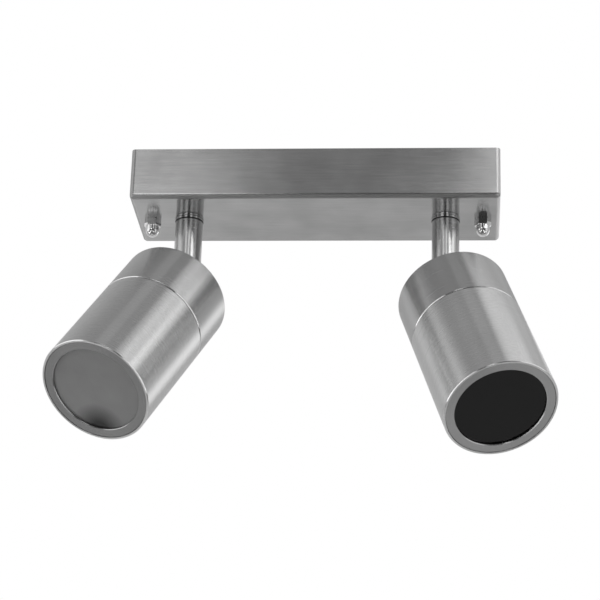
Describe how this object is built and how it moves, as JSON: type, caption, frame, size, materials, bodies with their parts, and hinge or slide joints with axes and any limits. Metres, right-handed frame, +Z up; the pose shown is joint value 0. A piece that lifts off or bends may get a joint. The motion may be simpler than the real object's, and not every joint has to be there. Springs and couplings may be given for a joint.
{
  "type": "twin spotlight wall light",
  "caption": "Flat oblong wall box in brushed steel with short arms, each carrying a cylindrical spotlight head that swivels and tilts.",
  "frame": {"origin": "middle of the box on the wall plane, which is the middle of the wall-screw slots", "axes": "+X along the box to the right, +Z up the wall, +Y into the wall; the heads point to -Y"},
  "size_m": [0.2621, 0.1734, 0.115],
  "materials": {
    "brushed_box": "stainless, fine brush lines along the box",
    "brushed_head": "stainless, fine turned grain round the head",
    "satin_rod": "stainless, polished satin",
    "satin_bezel": "stainless, satin turned face",
    "polished_ring": "polished",
    "polished_chrome": "mirror polished",
    "zinc_steel": "bright zinc plate",
    "spring_steel": "oiled spring steel",
    "steel_screw": "stainless, machined",
    "black_rubber": "matt black",
    "white_plastic": "natural white",
    "brass": "plain brass",
    "brown_insulation": "satin",
    "blue_insulation": "satin",
    "earth_insulation": "satin",
    "white_sleeving": "glass-fibre sleeving",
    "lamp_glass": "clear toughened glass over a dark inside",
    "ceramic": "unglazed ceramic"
  },
  "bodies": {
    "base": {"back_box": "brushed_box", "wall_gasket": "black_rubber", "wall_bracket": "zinc_steel", "bracket_studs": "zinc_steel", "dome_nuts": "polished_chrome", "terminal_block": "white_plastic", "terminal_inserts": "brass", "terminal_screws": "zinc_steel", "block_screw": "zinc_steel", "earth_screw": "zinc_steel", "earth_tag": "brass", "cable_grommet": "black_rubber", "live_leads": "brown_insulation", "neutral_leads": "blue_insulation", "earth_leads": "earth_insulation", "slide_washers": "white_plastic", "stop_pins": "zinc_steel", "stem_seals": "black_rubber"},
    "left_arm": {"left_arm": "satin_rod", "left_base_ring": "polished_ring", "left_stop_plate": "zinc_steel", "left_disc_spring": "spring_steel", "left_stem_nuts": "zinc_steel", "left_arm_leads": "white_sleeving", "left_pivot_screw": "steel_screw"},
    "right_arm": {"right_arm": "satin_rod", "right_base_ring": "polished_ring", "right_stop_plate": "zinc_steel", "right_disc_spring": "spring_steel", "right_stem_nuts": "zinc_steel", "right_arm_leads": "white_sleeving", "right_pivot_screw": "steel_screw"},
    "left_head": {"left_knuckle": "satin_rod", "left_knuckle_nut": "zinc_steel", "left_pivot_nut": "zinc_steel", "left_rear_housing": "brushed_head", "left_front_housing": "brushed_head", "left_joint_seal": "black_rubber", "left_bezel": "satin_bezel", "left_glass": "lamp_glass", "left_glass_seal": "black_rubber", "left_lampholder": "ceramic", "left_holder_bracket": "zinc_steel", "left_holder_screws": "zinc_steel", "left_head_leads": "white_sleeving"},
    "right_head": {"right_knuckle": "satin_rod", "right_knuckle_nut": "zinc_steel", "right_pivot_nut": "zinc_steel", "right_rear_housing": "brushed_head", "right_front_housing": "brushed_head", "right_joint_seal": "black_rubber", "right_bezel": "satin_bezel", "right_glass": "lamp_glass", "right_glass_seal": "black_rubber", "right_lampholder": "ceramic", "right_holder_bracket": "zinc_steel", "right_holder_screws": "zinc_steel", "right_head_leads": "white_sleeving"}
  },
  "joints": [
    {"name": "left_swivel", "type": "hinge", "parent": "base", "child": "left_arm", "pos_m": [-0.0705, -0.029, 0], "axis": [0, -1, 0], "range_deg": [-200.5, 139.5]},
    {"name": "left_tilt", "type": "hinge", "parent": "left_arm", "child": "left_head", "pos_m": [-0.0705, -0.065, 0], "axis": [-0.8616, 0, -0.5075], "range_deg": [-39.2, 50.8]},
    {"name": "right_swivel", "type": "hinge", "parent": "base", "child": "right_arm", "pos_m": [0.0705, -0.029, 0], "axis": [0, -1, 0], "range_deg": [-142, 198]},
    {"name": "right_tilt", "type": "hinge", "parent": "right_arm", "child": "right_head", "pos_m": [0.0705, -0.065, 0], "axis": [-0.8829, 0, 0.4695], "range_deg": [-33.4, 56.6]}
  ]
}
